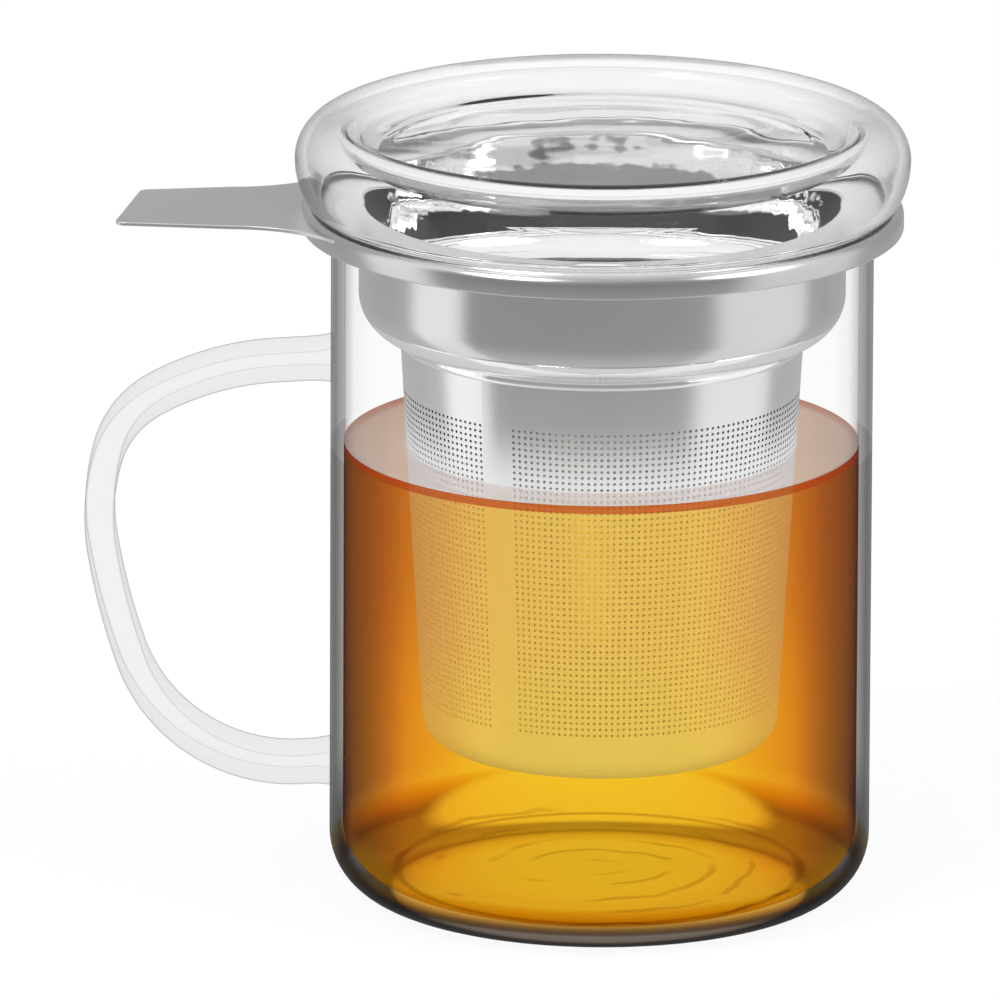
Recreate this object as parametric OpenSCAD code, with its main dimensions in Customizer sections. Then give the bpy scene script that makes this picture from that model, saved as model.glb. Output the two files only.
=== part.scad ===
// Lidded glass tea mug: a straight glass with a strap handle, a lift-out steel infuser
// that hangs from the rim, and a loose glass lid that stands on the infuser's flange.
// The origin is on the mug's axis, on the plane it stands on. The handle and the
// infuser's lift tab both point along -X. Lengths are in millimetres.

/* [Mug] */
// Outside diameter of the glass
mug_d = 82; // [70:1:100]
// Height of the glass from table to rim
mug_h = 106.8; // [100:0.1:130]
// Thickness of the side wall
mug_wall = 2; // [1.6:0.1:3]
// Thickness of the floor
mug_floor = 3; // [2:0.5:5]
// Outside radius where the wall turns into the foot
foot_round = 9.5; // [6:0.5:14]
// Inside radius where the wall turns into the floor
floor_round = 8; // [5:0.5:12]

/* [Handle] */
// Width of the handle's strap, across the grip
strap_w = 12.4; // [10:0.2:16]
// Thickness of the strap
strap_t = 4.5; // [3.5:0.1:6]
// Radius on the strap's long edges
strap_round = 1.6; // [0.5:0.1:1.7]
// Drop from the rim to the middle of the strap's upper end
handle_drop = 23.6; // [18:0.1:28]
// Slope of the strap where it leaves the wall, in degrees
handle_slope = 3.3; // [0:0.1:8]
// Straight length of the strap before its first bend
handle_lead = 8; // [5:0.5:12]

/* [Infuser] */
// Thickness of the flange's and collar's sheet
sheet_t = 0.7; // [0.5:0.1:1]
// Distance that the flange reaches past the glass
flange_overhang = 4.5; // [3.5:0.1:7]
// Height of the flange's turned-down edge
skirt_h = 3.8; // [3:0.1:6]
// Radius over the flange's outer shoulder
skirt_round = 1.8; // [1.2:0.1:2.4]
// Depth of the collar below the flange
collar_h = 19.6; // [16:0.1:30]
// Width of the step from the collar in to the basket
step_w = 6.4; // [4:0.1:9]
// Depth of the basket below the collar
basket_h = 63.7; // [45:0.1:68]
// Distance that the basket's side tapers inwards
basket_taper = 3.4; // [1:0.1:5]
// Thickness of the basket's sheet
basket_t = 0.5; // [0.4:0.1:0.8]
// Radius where the basket's side turns into its base
base_round = 4.5; // [2.5:0.5:6]
// Height of the plain neck at the top of the basket
neck_h = 2.2; // [2:0.1:4]
// Height of the bead around the joint of collar and basket
bead_h = 1.4; // [0.8:0.1:1.8]
// Distance that the bead stands out from the basket
bead_w = 0.6; // [0.3:0.1:0.8]

/* [Lift tab] */
// Reach of the tab beyond the flange's edge
tab_reach = 27.8; // [18:0.1:35]
// Width of the tab at its tip
tab_tip_w = 20.4; // [14:0.2:24]
// Width of the tab at its waist, before it flares into the flange
tab_waist_w = 24; // [18:0.2:28]
// Radius of the flare on either side
tab_flare_r = 18; // [12:1:34]
// Distance that the tip slopes back from one corner to the other
tab_slant = 3.2; // [0:0.1:5]
// Thickness of the tab
tab_t = 0.6; // [0.4:0.1:0.8]
// Drop from the flange's top to the tab's top
tab_drop = 1; // [0.8:0.1:2]
// Corner radius at the tip
tab_corner = 1.5; // [0.5:0.1:3]

/* [Lid] */
// Thickness of the lid's glass
lid_wall = 1.8; // [1.6:0.1:2.4]
// Height of the lid from its foot to its crest
lid_h = 12.5; // [11:0.1:16]
// Distance that the lid's widest line reaches past the flange
lid_overhang = 1; // [0:0.1:3]
// Distance that the lid's foot tucks in under its widest line
lid_tuck = 1.9; // [1:0.1:3]
// Radius from the crest out to the widest line
crest_round = 5.9; // [5:0.1:7]
// Radius from the crest in to the well
well_round = 3.5; // [3:0.1:4.5]
// Depth of the well below the crest
well_depth = 4.6; // [4.2:0.1:5.2]
// Radius from the well's slope into its flat floor
well_sweep = 6.5; // [6:0.1:8]

/* [Fits] */
// Gap between the glass rim and the flange that hangs on it
flange_gap = 0.2; // [0.1:0.05:0.5]
// Gap all round between the collar and the inside of the glass
collar_gap = 2.2; // [1:0.1:4]
// Gap between the flange and the lid's foot
lid_gap = 0.2; // [0.1:0.05:0.5]

/* [Hidden] */
$fn = 128;
eps = 0.01;

// Facets of the strap: steps round each long edge, and degrees from ring to ring
STRAP_ROUND_STEPS = 5;
STRAP_STEP_DEG = 5;

// Bends of the strap's centre line from the upper end on: [radius, degrees turned]
HANDLE_BENDS = [[43, 26], [15, 45], [33.5, 25], [100, 10], [25.7, 74]];

mug_r = mug_d / 2;
flange_under = mug_h + flange_gap;
flange_top = flange_under + sheet_t;
flange_r = mug_r + flange_overhang;
collar_r = mug_r - mug_wall - collar_gap;
collar_bottom = flange_under - collar_h;
basket_r = collar_r - step_w;
basket_foot_r = basket_r - basket_taper;
basket_bottom = collar_bottom - basket_h;
tab_top = flange_top - tab_drop;
lid_r = flange_r + lid_overhang;
lid_foot = flange_top + lid_gap;
crest_z = lid_foot + lid_h;
crest_r = lid_r - crest_round;
belt_z = crest_z - crest_round;
well_z = crest_z - well_depth;
// The well's two arcs meet where both have turned this far from level
well_turn = acos(1 - well_depth / (well_round + well_sweep));
well_r = crest_r - (well_round + well_sweep) * sin(well_turn);
// The flank's arc runs from upright at the belt to lid_tuck further in at the foot
flank_h = belt_z - lid_foot;
flank_round = (flank_h * flank_h + lid_tuck * lid_tuck) / (2 * lid_tuck);

// Half section of a round cup from z0 up to z1, its bottom corner rounded
module cup_section(r, z0, z1, corner) {
    translate([0, z0])
        square([r - corner, z1 - z0]);
    translate([0, z0 + corner])
        square([r, z1 - z0 - corner]);
    translate([r - corner, z0 + corner])
        circle(r = corner);
}

// Keeps the half of a section that lies on the +X side, ready to be revolved
module right_half(top) {
    intersection() {
        children();
        translate([0, -eps])
            square([2 * flange_r, top + 2 * eps]);
    }
}

module mug_body() {
    lip = mug_wall / 2;
    color("lightcyan", 0.5)
    rotate_extrude() {
        right_half(mug_h)
        difference() {
            cup_section(mug_r, 0, mug_h - lip, foot_round);
            cup_section(mug_r - mug_wall, mug_floor, mug_h, floor_round);
        }
        translate([mug_r - lip, mug_h - lip])
            circle(r = lip);
    }
}

// Cross-section of the strap: [across its thickness, across its width], corners rounded
STRAP_RING = [
    for (corner = [0:3], step = [0:STRAP_ROUND_STEPS])
        let (
            turn = 90 * corner + 90 * step / STRAP_ROUND_STEPS,
            side_t = corner == 0 || corner == 3 ? 1 : -1,
            side_w = corner < 2 ? 1 : -1
        )
        [
            side_t * (strap_t / 2 - strap_round) + strap_round * cos(turn),
            side_w * (strap_w / 2 - strap_round) + strap_round * sin(turn)
        ]
];

// Heading of the centre line, in degrees, before bend i
function heading(i) = i == 0 ? handle_slope : heading(i - 1) + HANDLE_BENDS[i - 1][1];

// Unit vector across the strap, towards its outer face, where it heads a degrees
function outward(a) = [-sin(a), cos(a)];

// Place of the centre line before bend i, in the X-Z plane
function bend_start(i) = i == 0
    ? [-mug_r, mug_h - handle_drop] - handle_lead * [cos(handle_slope), sin(handle_slope)]
    : bend_start(i - 1) + HANDLE_BENDS[i - 1][0] * (outward(heading(i)) - outward(heading(i - 1)));

// Stations along the centre line, [x, z, heading], from inside the wall and back to it
function strap_stations(root) =
    let (
        bends = len(HANDLE_BENDS),
        first = bend_start(0),
        last = bend_start(bends),
        end = heading(bends),
        run = handle_lead + root,
        back = root - mug_r - last[0]
    )
    [
        [first[0] + run * cos(handle_slope), first[1] + run * sin(handle_slope), handle_slope],
        for (i = [0:bends - 1])
            let (
                r = HANDLE_BENDS[i][0],
                sweep = HANDLE_BENDS[i][1],
                steps = ceil(sweep / STRAP_STEP_DEG),
                centre = bend_start(i) - r * outward(heading(i))
            )
            for (k = [(i == 0 ? 0 : 1):steps])
                let (a = heading(i) + sweep * k / steps, p = centre + r * outward(a))
                [p[0], p[1], a],
        [last[0] + back, last[1] + back * tan(end), end]
    ];

module mug_handle() {
    stations = strap_stations(mug_wall / 2);
    n = len(STRAP_RING);
    rings = len(stations);
    points = [
        for (s = stations, q = STRAP_RING)
            let (u = outward(s[2]))
            [s[0] + q[0] * u[0], q[1], s[1] + q[0] * u[1]]
    ];
    sides = [
        for (k = [0:rings - 2], i = [0:n - 1])
            let (j = (i + 1) % n)
            [(k + 1) * n + i, (k + 1) * n + j, k * n + j, k * n + i]
    ];
    caps = [
        [for (i = [0:n - 1]) i],
        [for (i = [0:n - 1]) rings * n - 1 - i]
    ];
    color("lightcyan", 0.5)
    difference() {
        polyhedron(points = points, faces = concat(caps, sides), convexity = 4);
        translate([0, 0, -eps])
            cylinder(h = mug_h, r = mug_r);
    }
}

// Half section of the flange's hood, pulled in by inset from its outer face
module flange_hood(inset) {
    shoulder_r = flange_r - skirt_round;
    square([shoulder_r, flange_top - inset]);
    square([flange_r - inset, flange_top - skirt_round]);
    translate([shoulder_r, flange_top - skirt_round])
        circle(r = skirt_round - inset, $fn = 64);
}

module infuser_flange() {
    skirt_end = flange_top - skirt_h;
    mouth_r = collar_r - sheet_t;
    color("silver")
    rotate_extrude() {
        difference() {
            flange_hood(0);
            flange_hood(sheet_t);
            square([mouth_r, flange_top + eps]);
            square([flange_r + eps, skirt_end + sheet_t / 2]);
        }
        translate([flange_r - sheet_t / 2, skirt_end + sheet_t / 2])
            circle(r = sheet_t / 2, $fn = 32);
    }
}

// Plan of the lift tab: a tapering blade whose sides flare tangent to the flange's edge
module tab_plan() {
    flare_y = tab_waist_w / 2 + tab_flare_r;
    waist_x = -sqrt(pow(flange_r + tab_flare_r, 2) - pow(flare_y, 2));
    touch = flange_r / (flange_r + tab_flare_r);
    tip_x = -(flange_r + tab_reach);
    tip_y = tab_tip_w / 2 - tab_corner;
    hull() {
        translate([tip_x + tab_corner, -tip_y])
            circle(r = tab_corner, $fn = 32);
        translate([tip_x + tab_corner + tab_slant, tip_y])
            circle(r = tab_corner, $fn = 32);
        translate([waist_x, -tab_waist_w / 2])
            square([-waist_x - flange_r + skirt_round, tab_waist_w]);
    }
    difference() {
        translate([waist_x, -flare_y * touch])
            square([(touch - 1) * waist_x, 2 * flare_y * touch]);
        for (side = [-1, 1])
            translate([waist_x, side * flare_y])
                circle(r = tab_flare_r);
    }
}

module lift_tab() {
    color("silver")
    difference() {
        translate([0, 0, tab_top - tab_t])
            linear_extrude(tab_t)
                tab_plan();
        rotate_extrude()
            flange_hood(0);
    }
}

// Half section of the collar's outside, pulled in by inset
module collar_hood(inset) {
    corner_z = collar_bottom + step_w;
    translate([0, collar_bottom + inset])
        square([basket_r, collar_h]);
    translate([0, corner_z])
        square([collar_r - inset, flange_under - corner_z]);
    translate([basket_r, corner_z])
        circle(r = step_w - inset);
}

module infuser_collar() {
    color("silver")
    rotate_extrude()
        intersection() {
            difference() {
                collar_hood(0);
                collar_hood(sheet_t);
                translate([0, collar_bottom - eps])
                    square([basket_r - basket_t, collar_h]);
            }
            square([collar_r, flange_under]);
        }
}

module joint_bead() {
    color("silver")
    rotate_extrude()
        translate([basket_r, collar_bottom - bead_h])
            square([bead_w, bead_h]);
}

module basket_wall() {
    neck_z = collar_bottom - neck_h;
    foot_z = basket_bottom + base_round;
    color("silver")
    rotate_extrude()
        polygon([
            [basket_foot_r - basket_t, foot_z],
            [basket_foot_r, foot_z],
            [basket_r, neck_z],
            [basket_r, collar_bottom],
            [basket_r - basket_t, collar_bottom],
            [basket_r - basket_t, neck_z]
        ]);
}

module basket_base() {
    seam_z = basket_bottom + base_round;
    color("silver")
    rotate_extrude()
        intersection() {
            difference() {
                cup_section(basket_foot_r, basket_bottom, flange_under, base_round);
                cup_section(basket_foot_r - basket_t, basket_bottom + basket_t, flange_top,
                    base_round - basket_t);
            }
            square([basket_foot_r, seam_z]);
        }
}

// Half section of the lid's hood, filled down to its foot and pulled in by inset
module lid_hood(inset) {
    well_top = crest_z - well_round;
    sweep_z = well_z + well_sweep;
    join_x = well_r + (well_sweep + inset) * sin(well_turn);
    join_z = sweep_z - (well_sweep + inset) * cos(well_turn);
    intersection() {
        translate([crest_r, belt_z])
            circle(r = crest_round - inset);
        translate([crest_r, belt_z])
            square(crest_round);
    }
    intersection() {
        translate([lid_r - flank_round, belt_z])
            circle(r = flank_round - inset);
        translate([crest_r, lid_foot])
            square([crest_round, flank_h]);
    }
    intersection() {
        translate([crest_r, well_top])
            circle(r = well_round - inset);
        translate([join_x, well_top])
            square([crest_r - join_x + eps, well_round]);
    }
    translate([join_x, lid_foot])
        square([crest_r - join_x + eps, well_top - lid_foot + eps]);
    difference() {
        translate([well_r, lid_foot])
            square([join_x - well_r + eps, join_z - lid_foot]);
        translate([well_r, sweep_z])
            circle(r = well_sweep + inset);
    }
    translate([0, lid_foot])
        square([well_r + eps, well_z - inset - lid_foot]);
}

module lid() {
    half = lid_wall / 2;
    foot_z = lid_foot + half;
    foot_run = sqrt(pow(flank_round - half, 2) - pow(flank_h - half, 2));
    color("lightcyan", 0.5)
    rotate_extrude() {
        difference() {
            lid_hood(0);
            lid_hood(lid_wall);
            translate([0, lid_foot - eps])
                square([lid_r, half + eps]);
        }
        translate([lid_r - flank_round + foot_run, foot_z])
            circle(r = half, $fn = 64);
    }
}

mug_body();
mug_handle();
infuser_flange();
lift_tab();
infuser_collar();
joint_bead();
basket_wall();
basket_base();
lid();
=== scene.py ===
import math

import bpy
import numpy as np
from mathutils import Matrix, Vector


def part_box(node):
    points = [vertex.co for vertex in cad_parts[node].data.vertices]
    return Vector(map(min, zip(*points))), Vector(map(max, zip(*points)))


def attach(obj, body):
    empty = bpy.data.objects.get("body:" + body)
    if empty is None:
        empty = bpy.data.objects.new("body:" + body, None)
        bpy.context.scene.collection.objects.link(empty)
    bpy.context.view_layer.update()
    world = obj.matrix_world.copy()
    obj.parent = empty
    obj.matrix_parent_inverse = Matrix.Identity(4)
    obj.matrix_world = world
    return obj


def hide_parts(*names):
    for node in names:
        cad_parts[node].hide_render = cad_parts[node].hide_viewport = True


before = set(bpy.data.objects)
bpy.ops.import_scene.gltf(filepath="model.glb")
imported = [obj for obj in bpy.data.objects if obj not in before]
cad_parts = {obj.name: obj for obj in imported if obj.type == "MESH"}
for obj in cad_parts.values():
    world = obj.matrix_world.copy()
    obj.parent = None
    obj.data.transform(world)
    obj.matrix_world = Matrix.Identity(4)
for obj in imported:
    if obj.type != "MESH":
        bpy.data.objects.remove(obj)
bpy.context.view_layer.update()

MM = 0.001
ON_AXIS = 1e-9

# ---------------------------------------------------------------- sizes, in metres and degrees
MUG_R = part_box("mug_body")[1].x
MUG_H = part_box("mug_body")[1].z
MUG_WALL = 2.0 * MM
MUG_FLOOR = 3.0 * MM
FOOT_ROUND = 9.5 * MM
FLOOR_ROUND = 8.0 * MM

STRAP_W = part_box("mug_handle")[1].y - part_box("mug_handle")[0].y
STRAP_T = 4.5 * MM
STRAP_ROUND = 1.6 * MM
HANDLE_DROP = 23.6 * MM
HANDLE_SLOPE = 3.3
HANDLE_LEAD = 8.0 * MM
# Where the strap meets the glass it swells by this share over this distance, and its ends stand
# this far out from the wall
ROOT_SWELL = 0.16
ROOT_REACH = 3.0 * MM
ROOT_GAP = 0.02 * MM
# Bends of the strap's centre line from the upper end on: (radius in mm, degrees turned)
HANDLE_BENDS = ((43, 26), (15, 45), (33.5, 25), (100, 10), (25.7, 74))

SHEET_T = 0.7 * MM
FLANGE_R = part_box("infuser_flange")[1].x
FLANGE_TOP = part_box("infuser_flange")[1].z
FLANGE_UNDER = FLANGE_TOP - SHEET_T
SKIRT_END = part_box("infuser_flange")[0].z
SKIRT_ROUND = 1.8 * MM
COLLAR_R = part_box("infuser_collar")[1].x
COLLAR_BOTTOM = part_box("infuser_collar")[0].z
STEP_W = 6.4 * MM
BASKET_R = COLLAR_R - STEP_W
BASKET_T = 0.5 * MM
BASKET_FOOT_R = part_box("basket_base")[1].x
BASKET_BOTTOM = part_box("basket_base")[0].z
BASE_ROUND = 4.5 * MM
NECK_H = 2.2 * MM
NECK_Z = COLLAR_BOTTOM - NECK_H
BEAD_H = 1.4 * MM
BEAD_W = 0.6 * MM

TAB_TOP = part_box("lift_tab")[1].z
TAB_T = 0.6 * MM
TAB_TIP_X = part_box("lift_tab")[0].x
TAB_TIP_W = 20.4 * MM
TAB_WAIST_W = 24.0 * MM
TAB_FLARE_R = 18.0 * MM
TAB_SLANT = 3.2 * MM
TAB_CORNER = 1.5 * MM
TAB_INSET = 0.25 * MM       # how far in from the flange's edge the tab's root lies
TAB_SPLAY = 4               # degrees that its sides open from the tip on
TAB_EDGE = 0.12 * MM

LID_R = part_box("lid")[1].x
LID_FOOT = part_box("lid")[0].z
LID_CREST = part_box("lid")[1].z
LID_WALL = 1.8 * MM
CREST_ROUND = 5.9 * MM
WELL_ROUND = 3.5 * MM
WELL_DEPTH = 4.6 * MM
WELL_SWEEP = 6.5 * MM
LID_TUCK = 1.9 * MM

TEA_LEVEL = 70.0 * MM
TEA_GAP = 0.05 * MM         # between the tea and the glass
TEA_CLIMB_W = 1.5 * MM      # where the tea climbs the glass: how wide and how high
TEA_CLIMB_H = 0.5 * MM
TEA_LINE = 0.75 * MM        # depth of the dark line under its edge

# Etched holes of the basket, with corners HOLE_SHARE of a pitch from the middle
HOLE_COLUMNS = 192
HOLE_SECTORS = 3
HOLE_TOP = 79.4 * MM
HOLE_BOTTOM = 31.0 * MM
HOLE_ROWS = 51
HOLE_SHARE = 0.255
HOLE_CORNERS = 8            # hole_frame numbers them
# The plain seam strip, which starts the first sector: its middle, in degrees from +X, and its
# width in columns
STRIP_AT = -122
STRIP_COLUMNS = 5

ROUND_STEPS = 256
SMOOTH_STEPS = 8            # facets of a rounded lip or rim


# ---------------------------------------------------------------- mesh helpers
def arc(x, z, r, start, end, steps):
    """Points on an arc round (x, z), in degrees, both ends included."""
    return [
        (x + r * math.cos(math.radians(a)), z + r * math.sin(math.radians(a)))
        for a in np.linspace(start, end, steps + 1)
    ]


def run(a, b, steps):
    """Points between a and b, both left out, to keep a long face's shading even."""
    t = np.linspace(0, 1, steps + 1)[1:-1]
    return [(a[0] + (b[0] - a[0]) * k, a[1] + (b[1] - a[1]) * k) for k in t]


def make_object(name, verts, faces, sharp=None):
    """A smooth-shaded mesh object, with edges sharper than so many degrees kept crisp."""
    mesh = bpy.data.meshes.new(name)
    mesh.from_pydata([tuple(v) for v in verts], [], faces)
    mesh.validate()
    mesh.polygons.foreach_set("use_smooth", [True] * len(mesh.polygons))
    if sharp is not None:
        mesh.set_sharp_from_angle(angle=math.radians(sharp))
    mesh.update()
    obj = bpy.data.objects.new(name, mesh)
    bpy.context.scene.collection.objects.link(obj)
    return obj


def lathe(name, profile, ring=False, sharp=None):
    """Revolves a half section, listed anticlockwise with r to the right, round the Z axis.
    A ring's section closes on itself; any other starts and ends on the axis."""
    rows, verts = [], []
    angles = np.linspace(0, 2 * math.pi, ROUND_STEPS, endpoint=False)
    for r, z in profile:
        if r < ON_AXIS:
            rows.append([len(verts)] * ROUND_STEPS)
            verts.append((0.0, 0.0, z))
        else:
            rows.append(list(range(len(verts), len(verts) + ROUND_STEPS)))
            verts.extend((r * math.cos(a), r * math.sin(a), z) for a in angles)
    faces = []
    pairs = list(zip(rows, rows[1:]))
    if ring:
        pairs.append((rows[-1], rows[0]))
    for low, high in pairs:
        for i in range(ROUND_STEPS):
            j = (i + 1) % ROUND_STEPS
            quad = [low[i], low[j], high[j], high[i]]
            quad = [v for k, v in enumerate(quad) if v not in quad[:k]]
            if len(quad) > 2:
                faces.append(quad)
    return make_object(name, verts, faces, sharp)


# ---------------------------------------------------------------- materials
def new_material(name):
    material = bpy.data.materials.new(name)
    material.use_nodes = True
    tree = material.node_tree
    tree.nodes.clear()
    return material, tree


def node(tree, kind, **inputs):
    made = tree.nodes.new(kind)
    for key, value in inputs.items():
        made.inputs[key.replace("_", " ")].default_value = value
    return made


def grey(v):
    return (v, v, v)


def colour_of(value):
    """A colour, or the grey of a plain number."""
    return grey(value) if isinstance(value, (int, float)) else value


def ramp(tree, stops, factor):
    """Colour along a ramp, whose stops are (place, colour or grey)."""
    made = tree.nodes.new("ShaderNodeValToRGB")
    band = made.color_ramp
    while len(band.elements) < len(stops):
        band.elements.new(0.5)
    for element, (place, colour) in zip(band.elements, stops):
        element.position = place
        element.color = (*colour_of(colour), 1.0)
    tree.links.new(factor, made.inputs["Fac"])
    return made.outputs["Color"]


def noise(tree, scale, detail=2.0, stretch=(1, 1, 1)):
    """Soft noise fixed to the object. Its scale is in waves per metre."""
    where = tree.nodes.new("ShaderNodeTexCoord")
    mapping = tree.nodes.new("ShaderNodeMapping")
    mapping.inputs["Scale"].default_value = stretch
    made = node(tree, "ShaderNodeTexNoise", Scale=scale, Detail=detail)
    tree.links.new(where.outputs["Object"], mapping.inputs["Vector"])
    tree.links.new(mapping.outputs["Vector"], made.inputs["Vector"])
    return made.outputs["Fac"]


def span(tree, low, high, factor):
    """Takes a factor of 0 to 1 to the range from low to high."""
    made = tree.nodes.new("ShaderNodeMapRange")
    made.inputs["To Min"].default_value = low
    made.inputs["To Max"].default_value = high
    tree.links.new(factor, made.inputs["Value"])
    return made.outputs["Result"]


def share_of(tree, value, start, end):
    """How far value has come from start to end, from 0 to 1."""
    made = tree.nodes.new("ShaderNodeMapRange")
    made.inputs["From Min"].default_value = start
    made.inputs["From Max"].default_value = end
    tree.links.new(value, made.inputs["Value"])
    return made.outputs["Result"]


def bump(tree, height, depth):
    """A bumped normal, depth metres deep for each unit of height."""
    made = node(tree, "ShaderNodeBump", Strength=1.0, Distance=depth)
    tree.links.new(height, made.inputs["Height"])
    return made.outputs["Normal"]


def output(tree, shader):
    made = tree.nodes.new("ShaderNodeOutputMaterial")
    tree.links.new(shader, made.inputs["Surface"])


def math_node(tree, operation, a, b=None):
    made = tree.nodes.new("ShaderNodeMath")
    made.operation = operation
    for index, value in enumerate((a, b)):
        if isinstance(value, (int, float)):
            made.inputs[index].default_value = value
        elif value is not None:
            tree.links.new(value, made.inputs[index])
    return made.outputs[0]


def times(tree, a, b):
    return math_node(tree, "MULTIPLY", a, b)


def plus(tree, a, b):
    return math_node(tree, "ADD", a, b)


def greater(tree, value, limit=0.5):
    return math_node(tree, "GREATER_THAN", value, limit)


def mix_colour(tree, factor, a, b):
    """From a to b, each a colour, a grey or a socket, as the factor goes from 0 to 1."""
    made = tree.nodes.new("ShaderNodeMix")
    made.data_type = "RGBA"
    tree.links.new(factor, made.inputs["Factor"])
    for key, value in (("A", a), ("B", b)):
        if isinstance(value, (int, float, tuple)):
            made.inputs[key].default_value = (*colour_of(value), 1)
        else:
            tree.links.new(value, made.inputs[key])
    return made.outputs["Result"]


def multiply_colour(tree, a, b):
    made = tree.nodes.new("ShaderNodeMix")
    made.data_type = "RGBA"
    made.blend_type = "MULTIPLY"
    made.inputs["Factor"].default_value = 1.0
    tree.links.new(a, made.inputs["A"])
    tree.links.new(b, made.inputs["B"])
    return made.outputs["Result"]


def mix_shader(tree, factor, a, b):
    """From shader a to shader b as the factor, a number or a socket, goes from 0 to 1."""
    made = tree.nodes.new("ShaderNodeMixShader")
    if isinstance(factor, (int, float)):
        made.inputs[0].default_value = factor
    else:
        tree.links.new(factor, made.inputs[0])
    tree.links.new(a, made.inputs[1])
    tree.links.new(b, made.inputs[2])
    return made.outputs["Shader"]


def see_through(tree, tint=None):
    """What lies behind, tinted if a tint is given."""
    made = tree.nodes.new("ShaderNodeBsdfTransparent")
    if tint is not None:
        tree.links.new(tint, made.inputs["Color"])
    return made.outputs["BSDF"]


def mirror(tree, roughness):
    return node(tree, "ShaderNodeBsdfGlossy", Roughness=roughness).outputs["BSDF"]


def place_on_axis(tree):
    """Height and distance from the upright axis at the shaded point, in metres."""
    where = tree.nodes.new("ShaderNodeTexCoord")
    split = tree.nodes.new("ShaderNodeSeparateXYZ")
    level = tree.nodes.new("ShaderNodeVectorMath")
    level.operation = "MULTIPLY"
    level.inputs[1].default_value = (1, 1, 0)
    length = tree.nodes.new("ShaderNodeVectorMath")
    length.operation = "LENGTH"
    tree.links.new(where.outputs["Object"], split.inputs[0])
    tree.links.new(where.outputs["Object"], level.inputs[0])
    tree.links.new(level.outputs[0], length.inputs[0])
    return split.outputs["Z"], length.outputs["Value"]


def step_up(tree, value, start, end):
    """0 below start, 1 above end and a smooth rise between them."""
    made = tree.nodes.new("ShaderNodeMapRange")
    made.interpolation_type = "SMOOTHSTEP"
    made.inputs["From Min"].default_value = start
    made.inputs["From Max"].default_value = end
    tree.links.new(value, made.inputs["Value"])
    return made.outputs["Result"]


def layer_facing(tree):
    """0 where the surface is seen square on, 1 at its outline."""
    return node(tree, "ShaderNodeLayerWeight", Blend=0.5).outputs["Facing"]


def grazing(tree, facing, least, most):
    """Share of light mirrored: least when seen square on, rising to most at the outline."""
    return plus(tree, times(tree, math_node(tree, "POWER", facing, 5.0), most - least), least)


def bounced(tree):
    """1 for light that has already left a steel or matt surface, 0 for what the eye sees."""
    path = tree.nodes.new("ShaderNodeLightPath")
    return greater(tree, plus(tree, path.outputs["Glossy Depth"], path.outputs["Diffuse Depth"]))


# ---------------------------------------------------------------- glass
# Tints as (how far the surface turns away, colour or grey): 0 is square on, 1 the outline. Where they
# darken towards the outline, that is painted shade.
GLASS_IOR = 1.47
GLASS_ROUGHNESS = 0.04

# The mug's wall is painted dark grey towards its outline as shade: darker beside the tea and low down
MUG_DRY = [(0.0, 0.995), (0.5, 0.985), (0.6, 0.95), (0.67, 0.80), (0.72, 0.60), (0.76, 0.57),
           (0.81, 0.47), (0.92, 0.53), (1.0, 0.42)]
MUG_BESIDE_TEA = [(0.0, 0.995), (0.6, 0.98), (0.66, (0.86, 0.82, 0.79)), (0.69, (0.60, 0.55, 0.52)),
                  (0.75, 0.46), (0.81, 0.36), (0.92, 0.42), (1.0, 0.34)]
MUG_LOW = [(0.0, 0.995), (0.60, 0.98), (0.66, (0.55, 0.45, 0.40)), (0.70, (0.24, 0.22, 0.22)),
           (0.78, 0.26), (0.9, 0.30), (1.0, 0.28)]
# Heights between which MUG_LOW takes over, and the height over which MUG_DRY ends at the tea
MUG_LOW_FROM, MUG_LOW_TO = 22.0 * MM, 8.0 * MM
TEA_EDGE_BLUR = 0.4 * MM
# Painted shade and a painted brown glow of the tea on the rounded foot: tints by height, as shares of
# its radius
FOOT_PAINTED_SHADE_AND_GLOW = [(0.0, 0.36), (0.06, 0.26), (0.12, (0.22, 0.22, 0.23)), (0.34, (0.20, 0.19, 0.19)),
             (0.39, (0.10, 0.07, 0.05)), (0.46, (0.16, 0.09, 0.03)), (0.54, (0.42, 0.22, 0.04)),
             (0.62, (0.66, 0.37, 0.06)), (0.70, (0.80, 0.54, 0.13)), (0.80, (0.92, 0.76, 0.36)),
             (0.88, 1.0)]
# The band comes in as turn-away plus FOOT_LEAN times the height goes from the first to the second
# of these, so it fades when the foot is looked at from above
FOOT_LEAN = 50.0
FOOT_LEAN_FROM, FOOT_LEAN_TO = 0.40, 0.48
# Tints of the flat foot by distance from the axis, as shares of FLAT_FOOT_R: a ring of painted shade
# at its edge
FOOT_RING_PAINTED_SHADE = [(0.0, 0.99), (0.80, 0.99), (0.88, (0.93, 0.84, 0.68)), (0.94, (0.78, 0.68, 0.54)),
             (1.0, (0.44, 0.33, 0.22))]
FLAT_FOOT_R = 31.5 * MM
FLAT_FOOT_BLUR = 0.5 * MM
# The inner face's grey line at its outline is painted shade
MUG_INNER = [(0.0, 1.0), (0.86, 0.98), (0.94, 0.86), (1.0, 0.62)]
MUG_MIRROR = 0.2

# The lid is painted dark towards its outline, and faintly grey across the well, as shade
LID_CREST_TINT = [(0.0, 0.98), (0.40, 0.95), (0.50, 0.89), (0.60, 0.80), (0.68, 0.69), (0.74, 0.60),
                  (0.82, 0.40), (1.0, 0.06)]
LID_FLANK_TINT = [(0.0, 0.98), (0.30, 0.94), (0.40, 0.86), (0.48, 0.78), (0.55, 0.70), (0.63, 0.58),
                  (0.68, 0.50), (0.74, 0.40), (0.82, 0.22), (1.0, 0.04)]
LID_WELL_TINT = [(0.0, 0.95), (0.75, 0.94), (1.0, 0.6)]
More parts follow.
